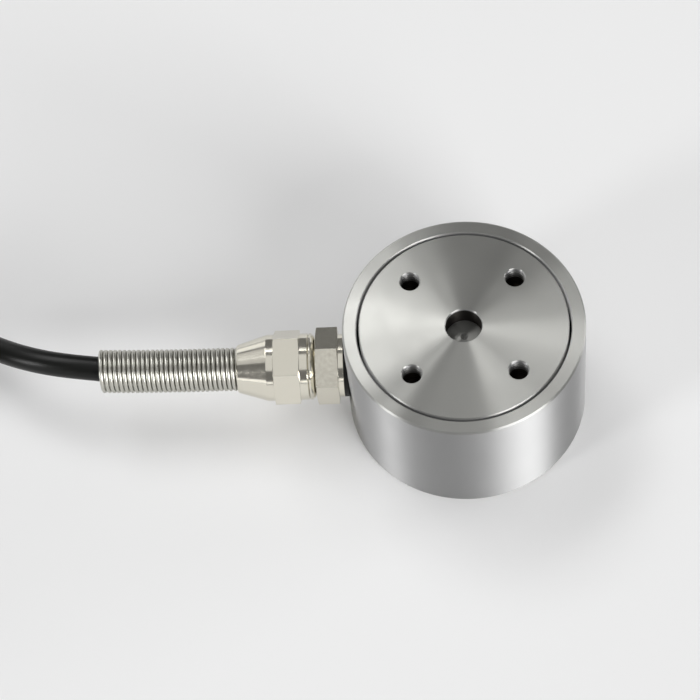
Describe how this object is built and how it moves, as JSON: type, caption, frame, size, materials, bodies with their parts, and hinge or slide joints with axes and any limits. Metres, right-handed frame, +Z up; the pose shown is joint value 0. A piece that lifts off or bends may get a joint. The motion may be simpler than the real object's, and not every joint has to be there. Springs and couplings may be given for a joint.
{
  "type": "miniature load cell",
  "caption": "round compression load cell with a load disc in its top face and a side cable gland with a spring strain relief and a black cable",
  "frame": {"origin": "middle of the base face, on the body's axis", "axes": "+Z up through the load disc, along the body's axis; the cable gland points along -X; +Y completes the frame"},
  "size_m": [0.2831, 0.05, 0.03],
  "materials": {
    "stainless": "fine turned stainless steel",
    "nickel_plate": "nickel-plated turned brass",
    "plain_brass": "turned",
    "spring_wire": "bright drawn wire",
    "black_rubber": "moulded",
    "cable_jacket": "extruded, slightly matt",
    "shrink_sleeve": "shrunk",
    "nylon": "moulded",
    "gauge_film": "polyimide film",
    "tinned_copper": "tinned",
    "board": "green solder resist",
    "resistor": "moulded",
    "red_insulation": "extruded",
    "black_insulation": "extruded",
    "green_insulation": "extruded",
    "white_insulation": "extruded"
  },
  "bodies": {
    "root": {"sensing_element": "stainless", "housing_sleeve": "stainless", "gap_seal": "black_rubber", "strain_gauges": "gauge_film", "gauge_leads": "tinned_copper", "terminal_board": "board", "trim_resistors": "resistor", "core_red": "red_insulation", "core_black": "black_insulation", "core_green": "green_insulation", "core_white": "white_insulation", "gland_body": "nickel_plate", "sealing_washer": "black_rubber", "cable_seal": "black_rubber", "clamp_ring": "plain_brass", "compression_nut": "nickel_plate", "strain_relief_spring": "spring_wire", "cable_in_gland": "cable_jacket", "cable_run": "cable_jacket", "cable_hank": "cable_jacket", "hank_ties": "nylon", "end_sleeve": "shrink_sleeve", "tail_red": "red_insulation", "tail_black": "black_insulation", "tail_green": "green_insulation", "tail_white": "white_insulation", "tail_screen": "tinned_copper", "tail_conductors": "tinned_copper"}
  },
  "joints": []
}
